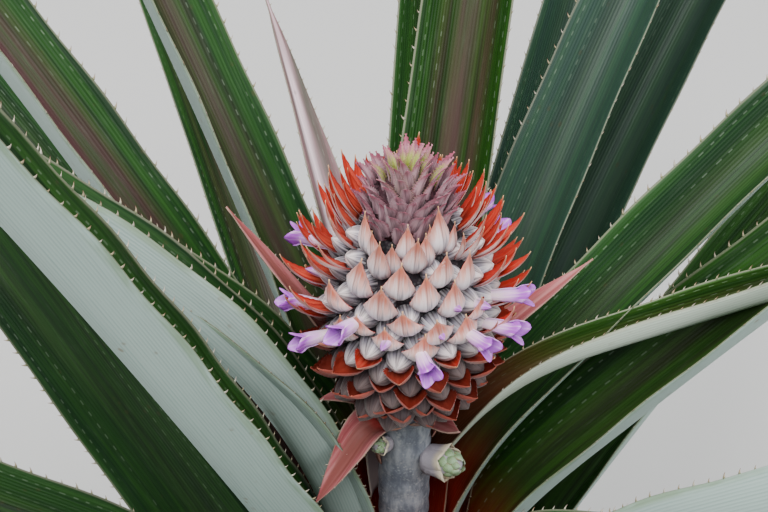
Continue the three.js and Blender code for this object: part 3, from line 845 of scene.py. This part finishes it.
def grown(name, tree, places, edges, **settings):
    """A plain mesh that the tree makes from places: points, each with its two directions and its size."""
    positions, outs, ups, sizes = zip(*places)
    points = bpy.data.meshes.new(name + "_points")
    points.from_pydata([tuple(p) for p in positions], edges, [])
    store(points, "out", outs, "FLOAT_VECTOR")
    store(points, "up", ups, "FLOAT_VECTOR")
    store(points, "size", sizes)
    host = in_scene(name + "_points", points)
    modifier = host.modifiers.new(name, "NODES")
    modifier.node_group = tree
    for item in tree.interface.items_tree:
        setting = item.name.lower().replace(" ", "_")
        if item.in_out == "INPUT" and setting in settings:
            modifier[item.identifier] = settings[setting]
    mesh = bpy.data.meshes.new_from_object(host.evaluated_get(bpy.context.evaluated_depsgraph_get()))
    bpy.data.objects.remove(host)
    smoothed(mesh)
    return in_scene(name, mesh)


def spine_shape():
    """One marginal spine: a flat-based hook, x outward, leaning towards +z, the leaf's tip."""
    rings, sides = 4, 4
    points = []
    for k in range(rings):
        share = k / (rings - 1)
        centre = Vector((0.92 * share ** 0.9, 0, 0.75 * share ** 1.9))
        wide = lerp(0.34, 0.03, share ** 0.8)
        points += [centre + Vector((-0.2 * (1 - share), wide * 0.45 * math.sin(angle),
                                    wide * 1.25 * math.cos(angle))) for angle in angles(sides)]
    faces = []
    for a in range(0, (rings - 1) * sides, sides):
        for s in range(sides):
            after = (s + 1) % sides
            faces.append((a + s, a + sides + s, a + sides + after, a + after))
    faces.append(tuple(reversed(range((rings - 1) * sides, rings * sides))))
    faces.append(tuple(range(sides)))
    reach = np.repeat(np.arange(rings) / (rings - 1), sides)
    return make_piece("spine_shape", points, faces, [SPINE], fields={"reach": reach})


def spines_on(name, margins, spacing, size, slot):
    places, edges = [], []
    for margin in margins:
        start = len(places)
        edges += [(start + i, start + i + 1) for i in range(len(margin) - 1)]
        places += margin
    keep(grown(name, SPINES_ALONG_MARGINS, places, edges, shape=SPINE_SHAPE, size=size, spacing=spacing,
               variation=0.25, seed=3, outer_finish=SPINE, inner_finish=SPINE), slot)


def copies_on(name, places, shape, variation, seed, outer, inner, slot, *nodes):
    keep(grown(name, COPIES_ON_POINTS, places, [], shape=shape, variation=variation, seed=seed,
               outer_finish=outer, inner_finish=inner), slot, *nodes)


# The rosette and the scape's leaves

SPINE_SHAPE = spine_shape()
margins = []
for order in range(LEAF_COUNT):
    number = "%02d" % (order + 1)
    blade = leaf_piece("blade_" + number, rosette_leaf(order), 90, 9, [LEAF_UPPER, LEAF_UNDER], margins)
    keep(blade, "leaf", "leaf_" + number)
spines_on("leaf_spines", margins, SPINE_SPACING, SPINE_LENGTH, "leaf")

SCAPE_FINISHES = {"scape_leaf_right": [SCAPE_UPPER, SCAPE_UNDER], "scape_leaf_back": [BACK_UPPER, BACK_UNDER]}
margins = []
for name in SCAPE_LEAVES:
    is_leaf = name in SCAPE_FINISHES
    finishes = SCAPE_FINISHES.get(name, [BRACT_UPPER, BRACT_UNDER])
    blade = leaf_piece(name + "_blade", scape_leaf(name), 70 if is_leaf else 30, 8, finishes, margins,
                       0.7 if is_leaf else 0.45)
    keep(blade, "scape_leaf" if is_leaf else "bract", name)
spines_on("scape_spines", margins, SCAPE_SPINE_SPACING, SCAPE_SPINE_LENGTH, "scape_leaf")


# Stem and scape

def ringed_stem_radius(z):
    """The stem with the rings that its fallen leaves left."""
    ring = STEM_RING_DEPTH * abs(math.sin(math.pi * z / LEAF_SPACING))
    return float(stem_radius(z)) - ring * float(smooth(z, 0.004, 0.02))


def scape_profile():
    steps = 29
    inset = 0.0002
    foot = STEM_TOP - 0.02
    top = FRUIT_BASE + 0.004
    profile = [(0, foot), (SCAPE_RADIUS * 0.9, foot), (SCAPE_RADIUS - inset, STEM_TOP + 0.001)]
    for k in range(steps + 1):
        z = lerp(STEM_TOP + 0.003, FRUIT_BASE - 0.012, k / steps)
        profile.append((SCAPE_RADIUS - inset + inset * math.sin(k * 1.7), z))
    return profile + [(SCAPE_RADIUS + 0.002, top), (0, top)]


stem = turned_piece("stem_bark", swept_profile(0, STEM_TOP, 58, ringed_stem_radius), 48, BARK)
keep(stem, "stem", "stem")
keep(turned_piece("scape_body", scape_profile(), 48, SCAPE_SKIN), "stem")


# The fruit

def fruit_radius(z):
    half, fullness = (FRUIT_HALF_BELOW, 3.2) if z < FRUIT_CENTRE else (FRUIT_HALF_ABOVE, 2.4)
    return FRUIT_RADIUS * math.sqrt(max(0.02, 1 - (abs(z - FRUIT_CENTRE) / half) ** fullness))


def faces_front(order):
    return -math.sin(spiral_angle(order)) > FRONT_FACING


def spiral_place(order, radius, z, slope=0.0, out=0.0, up=0.0):
    """A point on the spiral and its outward and upward directions, on a surface that faces up by slope."""
    angle = spiral_angle(order)
    outward = polar(angle, math.cos(slope), math.sin(slope))
    upward = polar(angle, -math.sin(slope), math.cos(slope))
    return polar(angle, radius, z) + outward * out + upward * up, outward, upward


def fruitlet_place(order, out=0.0, up=0.0):
    z = lerp(FRUITLET_BOTTOM, FRUITLET_TOP, (order + 0.5) / FRUITLETS)
    slope = math.atan((fruit_radius(z - 0.002) - fruit_radius(z + 0.002)) / 0.004)
    return spiral_place(order, fruit_radius(z), z, slope, out, up)


def levelled(place, order, lift=0.0):
    """The same point, with directions that do not lean with the fruit's surface but rise by lift degrees."""
    return (place[0], *spiral_place(order, 0, 0, math.radians(lift))[1:])


def two_sided(name, front, back, reach, across, half, length):
    """A thin closed shape from two grids of points: front, its inner face, and back, its outer face."""
    rows, cols = front.shape[:2]
    faces, inner = sheet_faces(rows, cols)
    reach = np.broadcast_to(reach, (rows, cols))
    across = np.broadcast_to(across, (rows, cols))
    metric = np.stack([(half * across).ravel(), (length * reach).ravel()], -1)
    made = make_piece(name, np.vstack([front.reshape(-1, 3), back.reshape(-1, 3)]), faces, [],
                      fields={"reach": np.tile(reach.ravel(), 2), "across": np.tile(across.ravel(), 2)},
                      metric=np.tile(metric, (2, 1)))
    store(made.data, "inner", inner, "BOOLEAN", "FACE")
    return made


def scale_shape(name, length, width, start, end, cup, teeth=0.0, rows=16, shoulder=2.2, taper=1.6,
                thickness=0.0006, bent_by=1.0):
    """A pointed scale: from its base at the origin it leaves at the angle start above +x and bends to the
    angle end by the share bent_by of its length. cup bends its margins towards the axis, and teeth roughen
    them."""
    t = np.linspace(0, 1, rows)[:, None]
    v = np.linspace(-1, 1, 7)[None, :]
    angle = np.radians(lerp(start, end, np.minimum(1, t / bent_by)))
    ahead = np.stack([np.cos(angle), 0 * angle, np.sin(angle)], -1)
    above = np.stack([-np.sin(angle), 0 * angle, np.cos(angle)], -1)
    at = np.cumsum(ahead, 0) * length / rows
    half = width / 2 * np.maximum(0.03, (1 - t ** shoulder) ** taper) * lerp(0.75, 1, np.minimum(1, t * 4))
    half = half + teeth * (1 - 0.6 * t) * (np.arange(rows)[:, None] % 2)
    bend = np.radians(cup) * np.abs(v)
    sideways = (half * v * np.cos(bend * 0.5))[..., None] * np.array([0, 1, 0])
    front = at + sideways + above * (half * np.abs(v) * np.sin(bend * 0.5))[..., None]
    thin = thickness * (1 - 0.6 * np.abs(v)) * (1 - 0.7 * t)
    return two_sided(name, front, front - above * thin[..., None], t, v, half, length)


def bud_shape(name, wide, tall):
    """A closed flower bud along +x: three sepals, each with one margin over the next, drawn to a point."""
    around, rows, sunk = 24, 9, -0.003
    points, reach, seam, metric = [(sunk, 0, 0)], [0], [0], [(0, 0)]
    for i in range(rows):
        t = i / (rows - 0.5)
        radius = wide / 2 * math.cos(t * math.pi / 2) ** 0.62
        for s, angle in enumerate(angles(around)):
            over = (s + 2) % (around // 3) / (around // 3 - 1)
            swell = 1 + (0.1 * over - 0.07) * float(smooth(t, 0.1, 0.4))
            points.append((lerp(sunk, tall, t ** 0.9), radius * swell * math.cos(angle),
                           radius * swell * math.sin(angle)))
            reach.append(t)
            # Painted shade under the overlapping margin, strongest where the next sepal tucks under it.
            seam.append((1 - over) ** 4 * float(smooth(t, 0.15, 0.35)))
            metric.append((s * wide * math.pi / around, t * tall))
    points.append((tall * 1.05, 0, 0))
    fields = {"reach": reach + [1], "seam": seam + [0]}
    return make_piece(name, points, ring_faces(rows, around), [], fields=fields, metric=metric + [(0, tall)])


def joined(name, shapes):
    """Shapes joined into one, their attributes kept."""
    bpy.ops.object.select_all(action="DESELECT")
    for shape in shapes:
        shape.select_set(True)
    bpy.context.view_layer.objects.active = shapes[0]
    bpy.ops.object.join()
    shapes[0].name = name
    return shapes[0]


def flower_shape(name, length):
    """Three petals that overlap round +x as a tube, with rounded lobes that spread at the mouth."""
    t = np.linspace(0, 1, 12)[:, None]
    v = np.linspace(-1, 1, 9)[None, :]
    x = length * t * (1 - 0.2 * np.abs(v) ** 1.5 * smooth(t, 0.4, 1))
    petals = []
    for k, turn in enumerate(angles(3)):
        angle = turn + math.radians(76) * v * lerp(1, 0.8, smooth(t, 0.6, 1))
        radius = lerp(0.0017, 0.0026, smooth(t, 0, 0.6)) + 0.0014 * smooth(t, 0.68, 1) ** 1.4 + 0.0003 * v
        radius = radius + 0.0003 * np.sin(5 * v + k) * smooth(t, 0.75, 1)
        front, back = [np.stack([x, r * np.cos(angle), r * np.sin(angle)], -1)
                       for r in (radius, radius + 0.00035)]
        petals.append(two_sided(name + str(k), front, back, t, v, PETAL_HALF_WIDTH, length))
    return joined(name, petals)


dealt = random.Random(11)


def tilted(place, amount):
    """The same place with its directions nudged, so that no two copies stand alike."""
    at, outward, upward = place
    side = outward.cross(upward)
    outward = outward + side * dealt.uniform(-amount, amount) + upward * dealt.uniform(-amount, amount)
    outward = outward.normalized()
    upward = (upward + side * dealt.uniform(-amount, amount)).normalized()
    return at, outward, upward


flesh = swept_profile(FRUIT_BASE, CROWN_BASE + 0.004, 24,
                      lambda z: max(fruit_radius(z) - 0.0015, SCAPE_RADIUS + 0.002))
keep(turned_piece("fruit_body", flesh, 48, FRUIT_FLESH_PAINTED_SHADE), "fruit", "fruit")

seats = {}
buds = []
for order in range(FRUITLETS):
    share = (order + 0.5) / FRUITLETS
    size = lerp(1.0, 0.84, float(smooth(share, 0.6, 1)))
    bud_size = lerp(1.0, 0.78, float(smooth(share, 0.6, 0.92)))
    front = faces_front(order)
    kind = [share <= up_to for up_to in BRACT_KINDS_UP_TO].index(True)
    seat = levelled(fruitlet_place(order, -0.0008, -BRACT_SEAT * size), order)
    seats.setdefault((kind, front), []).append((*tilted(seat, 0.14 if kind > 1 else 0.2), 1.0))
    if kind > 1 and not front:
        seats[kind, front].append((*tilted(seat, 0.24), 0.85))
    if share < 0.96:
        buds.append((*tilted(fruitlet_place(order, -0.001), 0.14), bud_size))
for order in range(FRUITLETS, FRUITLETS + COLLAR_BRACTS):
    share = (order - FRUITLETS) / COLLAR_BRACTS
    seat = spiral_place(order, lerp(0.0225, 0.0180, share), lerp(0.487, 0.494, share))
    seats[len(SIDE_BRACTS) - 1, faces_front(order)].append((*tilted(seat, 0.1), lerp(0.9, 0.7, share)))
for kind, front in sorted(seats):
    bract = (FRONT_BRACTS if front else SIDE_BRACTS)[kind]
    name = "fruit_bracts_%d_%s" % (kind, "front" if front else "side")
    shape = scale_shape(name + "_shape", **bract, teeth=0.0012 if kind < 2 else 0.0003,
                        shoulder=3 if front else 2.4, taper=2 if front and kind > 1 else 1.2)
    copies_on(name, seats[kind, front], shape, 0.13, 2 + kind, BRACT_OUTER, BRACT_INNER, "bract")
shape = bud_shape("bud_shape", BUD_WIDTH, BUD_HEIGHT)
copies_on("fruit_buds", buds, shape, 0.05, 1, SEPAL, SEPAL, "fruit")

flowers = []
for order in FLOWERING:
    flowers.append((*tilted(levelled(fruitlet_place(order, 0.002), order, FLOWER_LIFT), 0.12), 1.0))
shape = flower_shape("flower_shape", FLOWER_LENGTH)
copies_on("flowers", flowers, shape, 0.08, 5, PETAL, PETAL_INNER, "fruit")
tips = [(*tilted(fruitlet_place(order, 0.0052), 0.2), 1.0) for order in VIOLET_BUDS]
shape = bud_shape("violet_tip_shape", 0.0050, 0.0062)
copies_on("violet_tips", tips, shape, 0.15, 6, PETAL, PETAL, "fruit")


# The crown

def crown_places(count, radii, heights, steepest, nudge, smallest):
    """Places up the crown's spiral, between two radii and two heights, steeper and smaller as they go."""
    places = []
    for order in range(count):
        share = order / (count - 1)
        slope = math.radians(steepest * share)
        place = spiral_place(order, lerp(*radii, share), lerp(*heights, share), slope)
        places.append((*tilted(place, nudge), lerp(1.0, smallest, share)))
    return places


scales = crown_places(CROWN_SCALES, (0.0158, 0.0138), (CROWN_BASE - 0.003, 0.510), 0, 0.16, 0.95)
leaves = crown_places(CROWN_LEAVES, (0.0140, 0.0030), (0.505, 0.517), 22, 0.18, 0.75)
outer, heart = leaves[:OUTER_CROWN_LEAVES], leaves[OUTER_CROWN_LEAVES:]
shape = scale_shape("crown_scale_shape", 0.0150, 0.0072, 84, 56, 60, teeth=0.0010, rows=20, taper=1.2)
copies_on("crown_scales", scales, shape, 0.12, 7, CROWN_SCALE, CROWN_SCALE, "crown", "crown")
shape = scale_shape("crown_leaf_shape", 0.0172, 0.0066, 76, 40, 66, teeth=0.0013, rows=22, taper=1.2)
copies_on("crown_leaves", outer, shape, 0.12, 8, CROWN_SCALE, CROWN_SCALE, "crown")
copies_on("crown_heart", heart, shape, 0.12, 9, CROWN_SCALE, CROWN_HEART, "crown")
core = [(0, CROWN_BASE), (0.0155, CROWN_BASE), (0.0133, 0.508), (0.008, 0.515), (0.003, 0.518), (0, 0.518)]
keep(turned_piece("crown_core", core, 24, CROWN_FLESH_PAINTED_SHADE), "crown")


# The slips

SLIPS = {
    "slip_right": dict(azimuth=-35, height=0.361, radius=0.0135, size=0.0060, lean=68),
    "slip_left": dict(azimuth=233, height=0.375, radius=0.0135, size=0.0032, lean=60),
}
SLIP_PROFILE = [(0, 0), (1.15, 0), (1.0, 0.6), (1.0, 1.3), (1.0, 1.7), (0.9, 2.2), (0.7, 2.6), (0.35, 2.9),
                (0, 3)]
SLIP_SCALES = 16
SLEEVE_SCALES = 5
scale = scale_shape("slip_scale_shape", 1.5, 1.5, 78, 160, 60, teeth=0.03, thickness=0.06, taper=0.8)
sleeve = scale_shape("slip_sleeve_shape", 1.9, 2.8, 88, 70, 86, teeth=0.02, thickness=0.08, taper=0.3)
for name, slip in SLIPS.items():
    azimuth, lean, size = math.radians(slip["azimuth"]), math.radians(slip["lean"]), slip["size"]
    foot = polar(azimuth, slip["radius"], slip["height"])
    axis = polar(azimuth, math.sin(lean), math.cos(lean))
    first = axis.orthogonal().normalized()
    second = axis.cross(first)
    upright = Matrix.Translation(foot) @ axis.to_track_quat("Z", "Y").to_matrix().to_4x4()
    profile = [(radius * size, z * size) for radius, z in SLIP_PROFILE]
    keep(turned_piece(name + "_body", profile, 20, SLIP_SLEEVE, upright), "slip")
    scales, sleeves = [], []
    for order in range(SLIP_SCALES):
        share = order / (SLIP_SCALES - 1)
        outward = first * math.cos(spiral_angle(order)) + second * math.sin(spiral_angle(order))
        at = foot + axis * size * lerp(1.4, 2.6, share) + outward * size * lerp(1.0, 0.66, share ** 2)
        scales.append((at, outward, axis, size * lerp(0.85, 0.6, share)))
        if order < SLEEVE_SCALES:
            sleeves.append((foot + outward * size * 1.1, outward, axis, size))
    copies_on(name + "_scales", scales, scale, 0.08, 10, SLIP_SCALE, SLIP_SCALE, "slip", name)
    copies_on(name + "_sleeve", sleeves, sleeve, 0.05, 11, SLIP_SLEEVE, SLIP_SLEEVE, "slip")

for shape in [thing for thing in bpy.data.objects if thing.name.endswith("_shape")]:
    bpy.data.objects.remove(shape)


# Floor, light and camera

def area_light(name, place, aim, size, power):
    light = settled(bpy.data.lights.new(name, "AREA"), shape="DISK", size=size, energy=power)
    turned = (Vector(aim) - Vector(place)).to_track_quat("-Z", "Y").to_euler()
    settled(in_scene(name, light), location=place, rotation_euler=turned)


floor_finish = Finish("floor_finish", 0.9)
floor_finish.shader["Base Color"].default_value = (0.62, 0.61, 0.59, 1)
corners = [(x, y, 0) for x, y in ((-6, -6), (6, -6), (6, 6), (-6, 6))]
make_piece("floor", corners, [(0, 1, 2, 3)], [floor_finish.material])

world = bpy.data.worlds.new("studio")
world.use_nodes = True
background = world.node_tree.nodes["Background"].inputs
background[0].default_value = (0.92, 0.95, 1.0, 1)
background[1].default_value = 0.85
bpy.context.scene.world = world
area_light("sky", (-0.3, -0.6, 2.6), (0, 0, 0.4), 2.4, 120)
area_light("side", (1.8, -1.2, 1.6), (0, 0, 0.4), 1.6, 26)

CAMERA_ELEVATION = math.radians(42)
lens = settled(bpy.data.cameras.new("camera"), sensor_fit="HORIZONTAL", sensor_width=36, lens=75,
               clip_start=0.02)
camera = settled(in_scene("camera", lens), location=(-0.00924, -0.48113, 0.90994),
                 rotation_euler=(math.pi / 2 - CAMERA_ELEVATION, 0, 0))
bpy.context.scene.camera = camera
